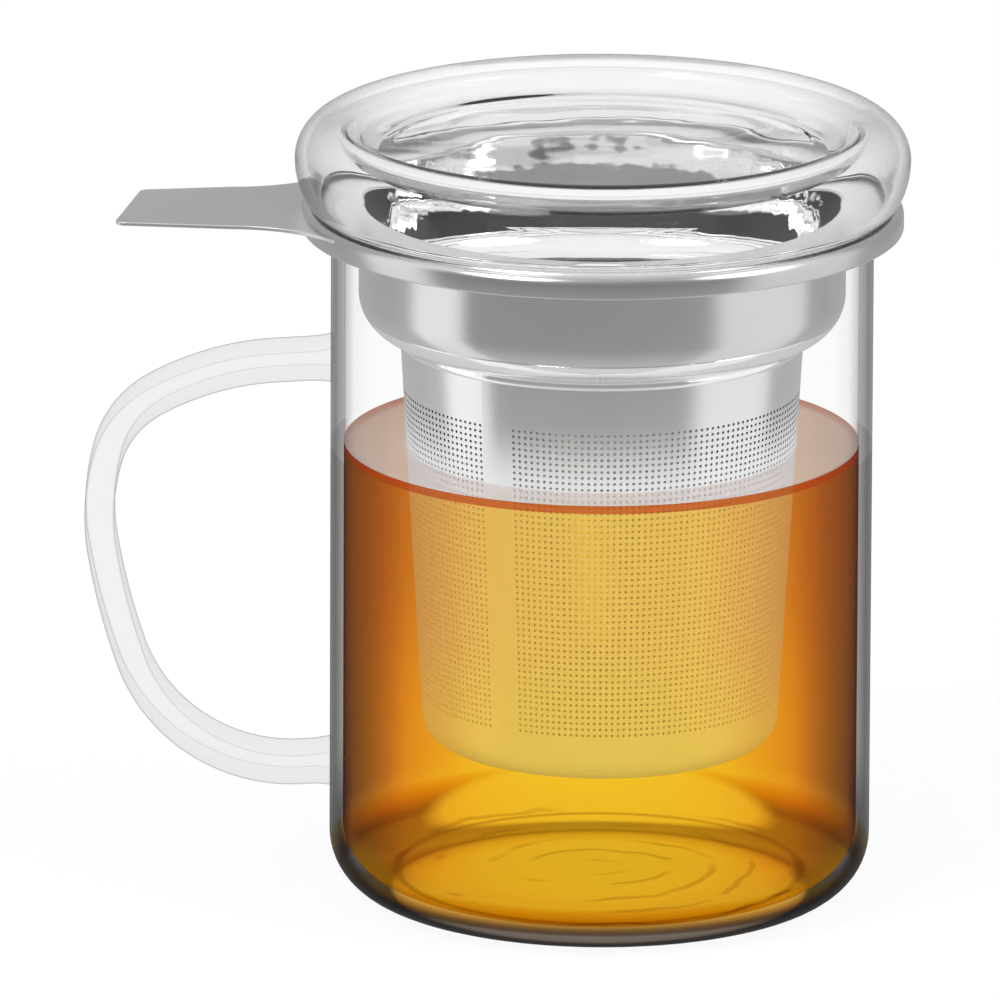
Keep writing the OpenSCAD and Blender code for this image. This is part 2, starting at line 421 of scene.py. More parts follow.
# Depths below the crest between which its tint passes to the flank's, and radii between which
# the rim's passes to the well's
LID_FLANK_FROM, LID_FLANK_TO = 1.5 * MM, 5.0 * MM
LID_WELL_FROM, LID_WELL_TO = 37.4 * MM, 34.0 * MM
LID_WAVES, LID_RIPPLES = 36.0, 120.0
LID_RIPPLE_SHARE = 0.02
LID_WAVE_DEPTH = 1.1 * MM
LID_SHINE = 0.7

HANDLE_BROAD = [(0.0, 0.93), (0.62, 0.93), (1.0, 0.90)]
# The strap's corners are painted dark grey towards the outline as shade
HANDLE_CORNER_SHADE = [(0.0, 0.93), (0.40, 0.92), (0.55, 0.82), (0.74, 0.72), (0.80, 0.40), (1.0, 0.05)]
HANDLE_MIRROR = 0.3


def clear_shader(tree, tint, normal, shine):
    """Refracting glass. Reflections in the steel pass through it untinted."""
    shader = node(tree, "ShaderNodeBsdfPrincipled", Roughness=0.0, IOR=GLASS_IOR)
    shader.inputs["Transmission Weight"].default_value = 1.0
    shader.inputs["Specular Tint"].default_value = (*grey(shine), 1)
    tree.links.new(mix_colour(tree, bounced(tree), tint, 1.0), shader.inputs["Base Color"])
    tree.links.new(normal, shader.inputs["Normal"])
    return shader.outputs["BSDF"]


def veil(tree, tint):
    """Tints what the eye sees through it. Light on its way to other surfaces passes untinted."""
    return see_through(tree, mix_colour(tree, bounced(tree), tint, 1.0))


def thin_glass(tree, tint, facing, most):
    """Glass too thin to bend what is seen through it: a tinted veil that mirrors at its edges."""
    return mix_shader(tree, grazing(tree, facing, 0.0, most), veil(tree, tint),
                      mirror(tree, GLASS_ROUGHNESS))


def mug_glass():
    """Outer face of the clear borosilicate glass. Its steep edges are painted dark grey as shade,
    darker beside the tea and round the thick foot, whose underside has a painted brown glow
    where the tea shines into it."""
    material, tree = new_material("mug_clear_glass")
    facing = layer_facing(tree)
    z, radius = place_on_axis(tree)
    below = step_up(tree, z, TEA_LEVEL + TEA_EDGE_BLUR, TEA_LEVEL)
    tint = mix_colour(tree, below, ramp(tree, MUG_DRY, facing), ramp(tree, MUG_BESIDE_TEA, facing))
    low = step_up(tree, z, MUG_LOW_FROM, MUG_LOW_TO)
    tint = mix_colour(tree, low, tint, ramp(tree, MUG_LOW, facing))
    band = ramp(tree, FOOT_PAINTED_SHADE_AND_GLOW, times(tree, z, 1 / FOOT_ROUND))
    lean = plus(tree, facing, times(tree, z, FOOT_LEAN))
    tint = mix_colour(tree, step_up(tree, lean, FOOT_LEAN_FROM, FOOT_LEAN_TO), tint,
                      multiply_colour(tree, tint, band))
    flat = step_up(tree, radius, FLAT_FOOT_R + FLAT_FOOT_BLUR, FLAT_FOOT_R - FLAT_FOOT_BLUR)
    ring = ramp(tree, FOOT_RING_PAINTED_SHADE, times(tree, radius, 1 / FLAT_FOOT_R))
    output(tree, thin_glass(tree, mix_colour(tree, flat, tint, ring), facing, MUG_MIRROR))
    return material


def mug_inner_glass():
    """Inner face of the glass: colourless, with a fine grey line of painted shade at its outline."""
    material, tree = new_material("mug_inner_glass")
    output(tree, veil(tree, ramp(tree, MUG_INNER, layer_facing(tree))))
    return material


def lid_glass():
    """Clear pressed glass: painted dark at its outline as shade, faintly grey as painted shade and
    wavy across the sunk top.
    """
    material, tree = new_material("lid_clear_glass")
    facing = layer_facing(tree)
    z, radius = place_on_axis(tree)
    down = step_up(tree, z, LID_CREST - LID_FLANK_FROM, LID_CREST - LID_FLANK_TO)
    rim = mix_colour(tree, down, ramp(tree, LID_CREST_TINT, facing),
                     ramp(tree, LID_FLANK_TINT, facing))
    inside = step_up(tree, radius, LID_WELL_FROM, LID_WELL_TO)
    tint = mix_colour(tree, inside, rim, ramp(tree, LID_WELL_TINT, facing))
    waves = noise(tree, LID_WAVES, 1.0, (1.0, 0.8, 1.0))
    ripples = noise(tree, LID_RIPPLES, 1.0)
    uneven = plus(tree, times(tree, inside, waves), times(tree, ripples, LID_RIPPLE_SHARE))
    output(tree, clear_shader(tree, tint, bump(tree, uneven, LID_WAVE_DEPTH), LID_SHINE))
    return material


def handle_glass(name, stops):
    """Clear glass seen through its thin strap: a pale even veil, with a fine grey line of painted
    shade where the strap's corners turn away."""
    material, tree = new_material(name)
    facing = layer_facing(tree)
    output(tree, thin_glass(tree, ramp(tree, stops, facing), facing, HANDLE_MIRROR))
    return material


# ---------------------------------------------------------------- steel
POLISH_PATCHES = 45.0
PATCH_SHADE = 0.93          # how dark the patches are beside the rest
DRAWN_LINES = 900.0
DRAWN_STRETCH = (0.05, 0.05, 1.0)
DRAWN_HEIGHT = 0.15
STEEL_DENT = 0.02 * MM
# Inside of the cup: how much smoother it is, how bright a grey is painted on it as light, and its
# streaks
INSIDE_BLUR = 0.1 * MM
INSIDE_SMOOTHER = 0.72
INSIDE_PAINTED_LIGHT_GREY = 0.96
INSIDE_SWIRL = 90.0
INSIDE_SWIRL_HEIGHT = 22.0
ETCHED_ROUGHNESS = 0.55
ETCHED_GREY = 0.75


def steel(name, shade, low, high, polished_within=0.0, matt_below=None, matt=ETCHED_GREY):
    """Satin stainless steel of roughness low to high, with fine drawn lines and soft patches in
    its polish. Nearer the axis than polished_within it is smoother and streaky, as the inside of
    the cup is, and its grey is raised to a bright one as painted light. From the first height of
    matt_below down to the second it turns matt and pale, as if etched, by the share that comes
    third; a matt grey far paler than the steel's own paints light."""
    material, tree = new_material(name)
    patches = noise(tree, POLISH_PATCHES, 3.0)
    polish = span(tree, low, high, patches)
    height = times(tree, noise(tree, DRAWN_LINES, 2.0, DRAWN_STRETCH), DRAWN_HEIGHT)
    colour = ramp(tree, [(0.3, shade * PATCH_SHADE), (0.7, shade)], patches)
    if polished_within:
        _, radius = place_on_axis(tree)
        inside = step_up(tree, radius, polished_within, polished_within - INSIDE_BLUR)
        keep = math_node(tree, "SUBTRACT", 1.0, times(tree, inside, INSIDE_SMOOTHER))
        polish = times(tree, polish, keep)
        swirl = times(tree, noise(tree, INSIDE_SWIRL, 3.0, (1, 1, 0.5)), INSIDE_SWIRL_HEIGHT)
        height = plus(tree, height, times(tree, inside, swirl))
        colour = mix_colour(tree, inside, colour, INSIDE_PAINTED_LIGHT_GREY)
    normal = bump(tree, height, STEEL_DENT)
    shader = node(tree, "ShaderNodeBsdfPrincipled", Metallic=1.0)
    tree.links.new(colour, shader.inputs["Base Color"])
    tree.links.new(polish, shader.inputs["Roughness"])
    tree.links.new(normal, shader.inputs["Normal"])
    surface = shader.outputs["BSDF"]
    if matt_below:
        start, end, share = matt_below
        z, _ = place_on_axis(tree)
        etched = node(tree, "ShaderNodeBsdfPrincipled", Roughness=ETCHED_ROUGHNESS)
        etched.inputs["Base Color"].default_value = (*grey(matt), 1)
        tree.links.new(normal, etched.inputs["Normal"])
        surface = mix_shader(tree, times(tree, step_up(tree, z, start, end), share), surface,
                             etched.outputs["BSDF"])
    output(tree, surface)
    return material


# ---------------------------------------------------------------- tea
# The tea's tint by how steeply its side turns away, high up and low down in the mug. Its amber is the
# tea's own; its darkening towards the outline is painted shade.
TEA_HIGH = [
    (0.0, (1.0, 0.78, 0.20)),
    (0.1, (0.98, 0.72, 0.18)),
    (0.2, (0.88, 0.56, 0.16)),
    (0.34, (0.72, 0.42, 0.14)),
    (0.51, (0.59, 0.31, 0.12)),
    (0.65, (0.53, 0.28, 0.11)),
    (0.88, (0.43, 0.23, 0.10)),
    (1.0, (0.38, 0.20, 0.12)),
]
TEA_LOW = [
    (0.0, (1.0, 0.87, 0.18)),
    (0.15, (1.0, 0.78, 0.15)),
    (0.22, (0.97, 0.69, 0.13)),
    (0.37, (0.90, 0.56, 0.12)),
    (0.45, (0.76, 0.44, 0.12)),
    (0.55, (0.60, 0.36, 0.12)),
    (0.7, (0.47, 0.28, 0.12)),
    (1.0, (0.32, 0.18, 0.10)),
]
TEA_HIGH_TO, TEA_LOW_FROM = 55.0 * MM, 25.0 * MM
# What the tea scatters back, on its side, darker towards its outline as painted shade, and its two
# tints on the mug's floor
TEA_CLOUD = [
    (0.0, (0.95, 0.42, 0.01)),
    (0.34, (0.90, 0.25, 0.015)),
    (0.42, (0.70, 0.16, 0.015)),
    (0.51, (0.50, 0.12, 0.015)),
    (0.65, (0.28, 0.075, 0.015)),
    (1.0, (0.08, 0.03, 0.015)),
]
TEA_CLOUD_SHARE = 0.2
FLOOR_TINT = (1.0, 0.80, 0.17)
FLOOR_CLOUD = (0.95, 0.42, 0.01)
FLOOR_TINT_FROM, FLOOR_TINT_TO = MUG_FLOOR + 10.0 * MM, MUG_FLOOR + 1.0 * MM
# Faint rings drawn on the floor: their number by radius, how far noise bends them, which crests
# of their waves show, how noise breaks them up, and the heights between which they appear
RING_TURNS, RING_BEND = 900.0, 9.0
RING_BEND_WAVES, RING_BREAK_WAVES = 60.0, 110.0
RING_CREST_FROM, RING_CREST_TO = 0.7, 1.0
RING_BREAK_FROM, RING_BREAK_TO = 0.46, 0.60
RING_DARK = 0.4
RINGS_FROM, RINGS_TO = MUG_FLOOR + 2.5 * MM, MUG_FLOOR + 0.6 * MM
# The dark ring of painted shade where the floor turns up: the radii at which it starts, is full, and
# ends
EDGE_START, EDGE_FULL, EDGE_FADE, EDGE_END = 29.6 * MM, 30.6 * MM, 30.8 * MM, 31.8 * MM
EDGE_DARK = 0.55
DARK_TINT = (0.30, 0.12, 0.03)
DARK_CLOUD = (0.30, 0.12, 0.02)
# The dark line of painted shade where the tea climbs the glass
TEA_RIM_TINT = [(0.0, (0.80, 0.26, 0.07)), (1.0, (0.50, 0.08, 0.03))]
TEA_RIM_CLOUD = [(0.0, (0.55, 0.11, 0.02)), (1.0, (0.26, 0.03, 0.01))]
TEA_RIM_SHARE = 0.45
# The tea's flat top: amber from above, painted pale from the side as a reflection
TEA_TOP_TINT = [
    (0.0, (0.93, 0.56, 0.13)),
    (0.3, (0.94, 0.60, 0.20)),
    (0.6, (0.98, 0.86, 0.74)),
    (0.68, (0.99, 0.92, 0.89)),
    (1.0, (0.99, 0.94, 0.92)),
]
TEA_TOP_CLOUD = [
    (0.0, (0.66, 0.33, 0.09)),
    (0.3, (0.70, 0.39, 0.14)),
    (0.6, (0.82, 0.68, 0.58)),
    (0.68, (0.84, 0.75, 0.71)),
    (1.0, (0.84, 0.76, 0.73)),
]
TEA_TOP_SHARE = 0.5
TEA_ROUGHNESS = 0.05
TEA_MIRROR_LEAST, TEA_MIRROR_MOST = 0.02, 0.9


def liquid(tree, tint, cloud, cloud_share):
    """Clear liquid: light passes through tinted, and a share of it is scattered back."""
    body = node(tree, "ShaderNodeBsdfDiffuse")
    tree.links.new(cloud, body.inputs["Color"])
    return mix_shader(tree, cloud_share, see_through(tree, tint), body.outputs["BSDF"])


def for_the_eye(tree, shader):
    """Light on its way to other surfaces passes untinted, so the steel keeps its own grey."""
    return mix_shader(tree, bounced(tree), shader, see_through(tree))


def floor_marks(tree, z, radius):
    """How dark the broken rings on the mug's floor and the ring of painted shade round its edge are.
    """
    bend = plus(tree, times(tree, radius, RING_TURNS),
                times(tree, noise(tree, RING_BEND_WAVES, 2.0), RING_BEND))
    ring = step_up(tree, math_node(tree, "SINE", bend), RING_CREST_FROM, RING_CREST_TO)
    broken = noise(tree, RING_BREAK_WAVES, 1.0, (0.5, 1.0, 1.0))
    ring = times(tree, ring, step_up(tree, broken, RING_BREAK_FROM, RING_BREAK_TO))
    edge = times(tree, step_up(tree, radius, EDGE_START, EDGE_FULL),
                 step_up(tree, radius, EDGE_END, EDGE_FADE))
    marks = plus(tree, times(tree, ring, RING_DARK), times(tree, edge, EDGE_DARK))
    return times(tree, step_up(tree, z, RINGS_FROM, RINGS_TO), marks)


def tea_side():
    """Side and floor of the tea, with faint drawn rings across the floor. Its darkening towards the
    outline and the dark ring where the floor turns up are painted shade.
    """
    material, tree = new_material("tea_liquid")
    facing = layer_facing(tree)
    z, radius = place_on_axis(tree)
    sunk = step_up(tree, z, TEA_HIGH_TO, TEA_LOW_FROM)
    tint = mix_colour(tree, sunk, ramp(tree, TEA_HIGH, facing), ramp(tree, TEA_LOW, facing))
    on_floor = step_up(tree, z, FLOOR_TINT_FROM, FLOOR_TINT_TO)
    tint = mix_colour(tree, on_floor, tint, FLOOR_TINT)
    cloud = mix_colour(tree, on_floor, ramp(tree, TEA_CLOUD, facing), FLOOR_CLOUD)
    dark = floor_marks(tree, z, radius)
    shader = liquid(tree, mix_colour(tree, dark, tint, DARK_TINT),
                    mix_colour(tree, dark, cloud, DARK_CLOUD), TEA_CLOUD_SHARE)
    output(tree, for_the_eye(tree, shader))
    return material


def tea_rim():
    """The dark line of painted shade round the tea's edge."""
    material, tree = new_material("tea_rim")
    facing = layer_facing(tree)
    shader = liquid(tree, ramp(tree, TEA_RIM_TINT, facing), ramp(tree, TEA_RIM_CLOUD, facing),
                    TEA_RIM_SHARE)
    output(tree, for_the_eye(tree, shader))
    return material


def tea_top():
    """The flat top, which mirrors at a low angle and is also painted pale there as a reflection."""
    material, tree = new_material("tea_top")
    facing = layer_facing(tree)
    shader = liquid(tree, ramp(tree, TEA_TOP_TINT, facing), ramp(tree, TEA_TOP_CLOUD, facing),
                    TEA_TOP_SHARE)
    mirrored = grazing(tree, facing, TEA_MIRROR_LEAST, TEA_MIRROR_MOST)
    shader = mix_shader(tree, mirrored, shader, mirror(tree, TEA_ROUGHNESS))
    output(tree, for_the_eye(tree, shader))
    return material


# ---------------------------------------------------------------- mug
def build_mug():
    lip = MUG_WALL / 2
    inner = MUG_R - MUG_WALL
    profile = [(0, 0)] + run((0, 0), (MUG_R - FOOT_ROUND, 0), steps=6)
    profile += arc(MUG_R - FOOT_ROUND, FOOT_ROUND, FOOT_ROUND, -90, 0, steps=16)
    profile += run((MUG_R, FOOT_ROUND), (MUG_R, MUG_H - lip), steps=24)
    profile += arc(MUG_R - lip, MUG_H - lip, lip, 0, 180, SMOOTH_STEPS)
    outer_end = len(profile)
    profile += run((inner, MUG_H - lip), (inner, MUG_FLOOR + FLOOR_ROUND), steps=24)
    profile += arc(inner - FLOOR_ROUND, MUG_FLOOR + FLOOR_ROUND, FLOOR_ROUND, 0, -90, steps=16)
    profile += run((inner - FLOOR_ROUND, MUG_FLOOR), (0, MUG_FLOOR), steps=6) + [(0, MUG_FLOOR)]
    mug = lathe("mug_glass_body", profile)
    for face in mug.data.polygons:
        face.material_index = 0 if face.index // ROUND_STEPS < outer_end else 1
    return mug


def strap_path():
    """Stations of the strap's centre line: (x, z, heading in degrees) from wall to wall."""
    straight_steps = 5
    degrees_a_step = 2
    a = HANDLE_SLOPE
    x, z = -MUG_R, MUG_H - HANDLE_DROP
    along = (math.cos(math.radians(a)), math.sin(math.radians(a)))
    stations = []
    for k in range(straight_steps):
        lead = HANDLE_LEAD * k / straight_steps
        stations.append((x - lead * along[0], z - lead * along[1], a))
    x, z = x - HANDLE_LEAD * along[0], z - HANDLE_LEAD * along[1]
    for radius, sweep in HANDLE_BENDS:
        r = radius * MM
        cx, cz = x + r * math.sin(math.radians(a)), z - r * math.cos(math.radians(a))
        steps = max(3, round(sweep / degrees_a_step))
        for k in range(steps + 1):
            b = math.radians(a + sweep * k / steps)
            x, z = cx - r * math.sin(b), cz + r * math.cos(b)
            if k < steps:
                stations.append((x, z, a + sweep * k / steps))
        a += sweep
    back = -MUG_R - x
    for k in range(straight_steps + 1):
        t = k / straight_steps
        stations.append((x + back * t, z + back * t * math.tan(math.radians(a)), a))
    return stations


def build_handle():
    """The strap, swept along its path. The half of each rounded corner beside a broad side
    carries the darker material, which paints shade along the strap's outline."""
    corner_steps = SMOOTH_STEPS
    section = []
    for corner, (st, sw) in enumerate(((1, 1), (-1, 1), (-1, -1), (1, -1))):
        for k in range(corner_steps + 1):
            turn = math.radians(90 * corner + 90 * k / corner_steps)
            section.append((st * (STRAP_T / 2 - STRAP_ROUND) + STRAP_ROUND * math.cos(turn),
                            sw * (STRAP_W / 2 - STRAP_ROUND) + STRAP_ROUND * math.sin(turn)))
    stations = strap_path()
    wall = MUG_R + ROOT_GAP
    n, verts = len(section), []
    for index, (x, z, a) in enumerate(stations):
        near = max(0.0, 1 - (-x - MUG_R) / ROOT_REACH)
        swell = 1 + ROOT_SWELL * near * near
        s, c = math.sin(math.radians(a)), math.cos(math.radians(a))
        for t, w in section:
            px, py, pz = x - t * swell * s, w, z + t * swell * c
            if index in (0, len(stations) - 1):
                px = -math.sqrt(wall ** 2 - py ** 2)
            verts.append((px, py, pz))
    ends = [list(range(n))[::-1], list(range(len(verts) - n, len(verts)))]
    faces = list(ends)
    for k in range(len(stations) - 1):
        for i in range(n):
            j = (i + 1) % n
            faces.append([k * n + i, k * n + j, (k + 1) * n + j, (k + 1) * n + i])
    handle = make_object("mug_glass_handle", verts, faces, sharp=50)
    half = corner_steps // 2
    for face in handle.data.polygons:
        corner, k = divmod((face.index - len(ends)) % n, corner_steps + 1)
        by_broad_side = k < half if corner % 2 == 0 else half <= k < corner_steps
        face.material_index = 1 if face.index >= len(ends) and by_broad_side else 0
    return handle


# ---------------------------------------------------------------- infuser
def build_flange():
    mouth = COLLAR_R - SHEET_T
    shoulder = FLANGE_R - SKIRT_ROUND
    roll = SHEET_T / 2
    under_z = FLANGE_TOP - SKIRT_ROUND
    profile = [(mouth, FLANGE_UNDER)] + run((mouth, FLANGE_UNDER), (shoulder, FLANGE_UNDER), steps=4)
    profile += arc(shoulder, under_z, SKIRT_ROUND - SHEET_T, 90, 0, steps=6)
    profile += arc(FLANGE_R - roll, SKIRT_END + roll, roll, 180, 360, SMOOTH_STEPS)
    profile += arc(shoulder, under_z, SKIRT_ROUND, 0, 90, steps=10)
    profile += run((shoulder, FLANGE_TOP), (mouth + SHEET_T, FLANGE_TOP), steps=5)
    profile += arc(mouth + SHEET_T, FLANGE_UNDER, SHEET_T, 90, 180, steps=5)[:-1]
    flange = lathe("infuser_flange_ring", profile, ring=True, sharp=40)
    # The flat top takes the second material, a paler steel that paints light on it
    for face in flange.data.polygons:
        on_top = face.normal.z > 0.9 and face.center.z > FLANGE_UNDER + SHEET_T / 2
        face.material_index = 1 if on_top else 0
    return flange


def build_collar():
    corner = COLLAR_BOTTOM + STEP_W
    inner = COLLAR_R - SHEET_T
    lip_r = BASKET_R - BASKET_T
    profile = [(lip_r, COLLAR_BOTTOM)]
    profile += arc(BASKET_R, corner, STEP_W, -90, 0, steps=14)
    profile += run((COLLAR_R, corner), (COLLAR_R, FLANGE_UNDER), steps=6) + [(COLLAR_R, FLANGE_UNDER)]
    profile += [(inner, FLANGE_UNDER)] + run((inner, FLANGE_UNDER), (inner, corner), steps=6)
    profile += arc(BASKET_R, corner, STEP_W - SHEET_T, 0, -90, steps=14)
    profile += [(lip_r, COLLAR_BOTTOM + SHEET_T)]
    return lathe("infuser_collar_cup", profile, ring=True, sharp=40)


def build_bead():
    middle = COLLAR_BOTTOM - BEAD_H / 2
    steps = 10
    profile = [(BASKET_R + BEAD_W * math.cos(a), middle + BEAD_H / 2 * math.sin(a))
               for a in np.linspace(-math.pi / 2, math.pi / 2, steps + 1)]
    return lathe("infuser_joint_bead", profile, ring=True, sharp=60)


def basket_radius(z):
    """Outside radius of the basket's side at height z."""
    foot = BASKET_BOTTOM + BASE_ROUND
    t = min(1.0, max(0.0, (z - foot) / (NECK_Z - foot)))
    return BASKET_FOOT_R + (BASKET_R - BASKET_FOOT_R) * t


def hole_frame(skin, rim, i, j):
    """Faces of one skin round the hole between levels i and i + 1 and columns j and j + 1. The
    rim's corners are numbered anticlockwise from the right, seen from outside."""
    c00, c10 = skin[i + 1][j], skin[i + 1][j + 1]
    c01, c11 = skin[i][j], skin[i][j + 1]
    return [
        [c10, c11, rim[0], rim[7]], [c11, c01, rim[2], rim[1]],
        [c01, c00, rim[4], rim[3]], [c00, c10, rim[6], rim[5]],
        [c11, rim[1], rim[0]], [c01, rim[3], rim[2]],
        [c00, rim[5], rim[4]], [c10, rim[7], rim[6]],
    ]


def build_basket_sector(sector):
    """One sector of the basket's side, with its etched holes cut right through the sheet. Its
    inner skin and the holes' walls carry the second material, a darker steel painted as shade."""
    rows = np.linspace(HOLE_TOP, HOLE_BOTTOM, HOLE_ROWS + 1)
    levels = [COLLAR_BOTTOM, NECK_Z, *rows, BASKET_BOTTOM + BASE_ROUND]
    first_hole = 2
    per = HOLE_COLUMNS // HOLE_SECTORS
    step = 2 * math.pi / HOLE_COLUMNS
    start = math.radians(STRIP_AT) - step * STRIP_COLUMNS / 2 + sector * per * step
    verts, faces, inner = [], [], set()

    def point(angle, z, depth):
        r = basket_radius(z) - depth
        verts.append((r * math.cos(angle), r * math.sin(angle), z))
        return len(verts) - 1

    def add(made, within):
        """Adds faces of the outer skin, or turned over for the inner one."""
        if within:
            inner.update(range(len(faces), len(faces) + len(made)))
        faces.extend(face[::-1] if within else face for face in made)

    skins = []
    for depth in (0.0, BASKET_T):
        skins.append([[point(start + step * j, z, depth) for j in range(per + 1)] for z in levels])
    for i in range(len(levels) - 1):
        for j in range(per):
            plain = not first_hole <= i < first_hole + HOLE_ROWS
            if plain or (sector == 0 and j < STRIP_COLUMNS):
                for within, skin in enumerate(skins):
                    add([[skin[i + 1][j], skin[i + 1][j + 1], skin[i][j + 1], skin[i][j]]], within)
                continue
            height = levels[i] - levels[i + 1]
            rims = []
            for depth in (0.0, BASKET_T):
                rim = []
                for k in range(HOLE_CORNERS):
                    turn = math.radians(360 / HOLE_CORNERS * (k + 0.5))
                    u = 0.5 + HOLE_SHARE * math.cos(turn)
                    v = 0.5 + HOLE_SHARE * math.sin(turn)
                    rim.append(point(start + step * (j + u), levels[i + 1] + height * v, depth))
                rims.append(rim)
            for within in (0, 1):
                add(hole_frame(skins[within], rims[within], i, j), within)
            for k in range(HOLE_CORNERS):
                m = (k + 1) % HOLE_CORNERS
                inner.add(len(faces))
                faces.append([rims[0][k], rims[0][m], rims[1][m], rims[1][k]])
    last = len(levels) - 1
    front, back = skins
    for j in range(per):
        faces.append([front[0][j], front[0][j + 1], back[0][j + 1], back[0][j]])
        faces.append([back[last][j], back[last][j + 1], front[last][j + 1], front[last][j]])
    for i in range(last):
        faces.append([front[i][0], back[i][0], back[i + 1][0], front[i + 1][0]])
        faces.append([front[i + 1][per], back[i + 1][per], back[i][per], front[i][per]])
    side = make_object(f"basket_side_{sector + 1}", verts, faces, sharp=35)
    for face in side.data.polygons:
        face.material_index = 1 if face.index in inner else 0
    return side


def build_basket_base():
    r, z = BASKET_FOOT_R, BASKET_BOTTOM
    turn = r - BASE_ROUND
    profile = [(0, z)] + run((0, z), (turn, z), steps=5)
    profile += arc(turn, z + BASE_ROUND, BASE_ROUND, -90, 0, steps=12)
    profile += arc(turn, z + BASE_ROUND, BASE_ROUND - BASKET_T, 0, -90, steps=12)
    profile += run((turn, z + BASKET_T), (0, z + BASKET_T), steps=5) + [(0, z + BASKET_T)]
    return lathe("basket_bottom_cup", profile, sharp=40)


def tab_outline():
    """The tab's plan, anticlockwise from above. Its sides flare out to touch the flange's edge."""
    flare_y = TAB_WAIST_W / 2 + TAB_FLARE_R
    reach = FLANGE_R + TAB_FLARE_R
    waist_x = -math.sqrt(reach ** 2 - flare_y ** 2)
    swing = math.degrees(math.atan2(flare_y, -waist_x))
    tip_y = TAB_TIP_W / 2 - TAB_CORNER
    rear = (TAB_TIP_X + TAB_CORNER + TAB_SLANT, tip_y)
    front = (TAB_TIP_X + TAB_CORNER, -tip_y)
    outline = arc(0, 0, FLANGE_R - TAB_INSET, 180 + swing, 180 - swing, steps=24)
    outline += arc(waist_x, flare_y, TAB_FLARE_R, -swing, -90, steps=14)[1:]
    outline += arc(*rear, TAB_CORNER, 90 - TAB_SPLAY, 180, steps=6)
    outline += arc(*front, TAB_CORNER, 180, 270 + TAB_SPLAY, steps=6)
    outline += arc(waist_x, -flare_y, TAB_FLARE_R, 90, swing, steps=14)[:-1]
    return outline


def build_tab():
    outline = tab_outline()
    n = len(outline)
    verts = [(x, y, TAB_TOP) for x, y in outline] + [(x, y, TAB_TOP - TAB_T) for x, y in outline]
    faces = [list(range(n)), list(range(2 * n - 1, n - 1, -1))]
    faces += [[i, n + i, n + (i + 1) % n, (i + 1) % n] for i in range(n)]
    obj = make_object("infuser_lift_tab", verts, faces, sharp=30)
    edge = obj.modifiers.new("soft_edge", "BEVEL")
    edge.width = TAB_EDGE
    edge.segments = 2
    edge.limit_method = "ANGLE"
    return obj


# ---------------------------------------------------------------- lid and tea
def build_lid():
    """The hollow lid, drawn from the dish's underside in the middle, out and down the inside of
    the rim, round its foot, up the outside and back over the crest into the well."""
    crest_r = LID_R - CREST_ROUND
    belt = LID_CREST - CREST_ROUND
    well_z = LID_CREST - WELL_DEPTH
    well_top = LID_CREST - WELL_ROUND
    turn = math.degrees(math.acos(1 - WELL_DEPTH / (WELL_ROUND + WELL_SWEEP)))
    well_r = crest_r - (WELL_ROUND + WELL_SWEEP) * math.sin(math.radians(turn))
    sweep = (well_r, well_z + WELL_SWEEP)
    flank_h = belt - LID_FOOT
    flank = (flank_h ** 2 + LID_TUCK ** 2) / (2 * LID_TUCK)
    half = LID_WALL / 2
    dip = math.degrees(math.asin((flank_h - half) / (flank - half)))
    flank_x = LID_R - flank
    foot = (flank_x + (flank - half) * math.cos(math.radians(dip)), LID_FOOT + half)
    dish = well_z - LID_WALL
    profile = [(0, dish)] + run((0, dish), (well_r, dish), steps=10)
    profile += arc(*sweep, WELL_SWEEP + LID_WALL, -90, turn - 90, steps=14)
    profile += arc(crest_r, well_top, WELL_ROUND - LID_WALL, 90 + turn, 90, steps=8)[1:]
    profile += arc(crest_r, belt, CREST_ROUND - LID_WALL, 90, 0, steps=14)[1:]
    profile += arc(flank_x, belt, flank - LID_WALL, 0, -dip, steps=8)[1:]
    profile += arc(*foot, half, 180 - dip, 360 - dip, SMOOTH_STEPS)[1:-1]
    profile += arc(flank_x, belt, flank, -dip, 0, steps=10)
    profile += arc(crest_r, belt, CREST_ROUND, 0, 90, steps=18)[1:]
    profile += arc(crest_r, well_top, WELL_ROUND, 90, 90 + turn, steps=10)[1:]
    profile += arc(*sweep, WELL_SWEEP, turn - 90, -90, steps=14)[1:]
    profile += run((well_r, well_z), (0, well_z), steps=10) + [(0, well_z)]
    return lathe("lid_glass_cover", profile)


def build_tea():
    """The tea, as one closed body of revolution. Its faces carry three materials: the side and
    floor, the dark line where it climbs the glass, and the flat top."""
    inner = MUG_R - MUG_WALL - TEA_GAP
    floor = MUG_FLOOR + TEA_GAP
    profile = [(0, floor)] + run((0, floor), (inner - FLOOR_ROUND, floor), steps=6)
    profile += arc(inner - FLOOR_ROUND, floor + FLOOR_ROUND, FLOOR_ROUND, -90, 0, steps=16)
    profile += run((inner, floor + FLOOR_ROUND), (inner, TEA_LEVEL - TEA_LINE), steps=16)
    side_end = len(profile)
    profile += [(inner, TEA_LEVEL - TEA_LINE), (inner, TEA_LEVEL + TEA_CLIMB_H)]
    top_start = len(profile) - 1
    for k in range(1, SMOOTH_STEPS + 1):
        t = k / SMOOTH_STEPS
        profile.append((inner - TEA_CLIMB_W * t, TEA_LEVEL + TEA_CLIMB_H * (1 - t) ** 2))
    profile += run((inner - TEA_CLIMB_W, TEA_LEVEL), (0, TEA_LEVEL), steps=8) + [(0, TEA_LEVEL)]
    tea = lathe("tea", profile, sharp=50)
    for face in tea.data.polygons:
        ring = face.index // ROUND_STEPS
        face.material_index = 0 if ring < side_end else 1 if ring < top_start else 2
    return tea


def dress_tea(tea):
    for material in (tea_side(), tea_rim(), tea_top()):
        tea.data.materials.append(material)
    return tea


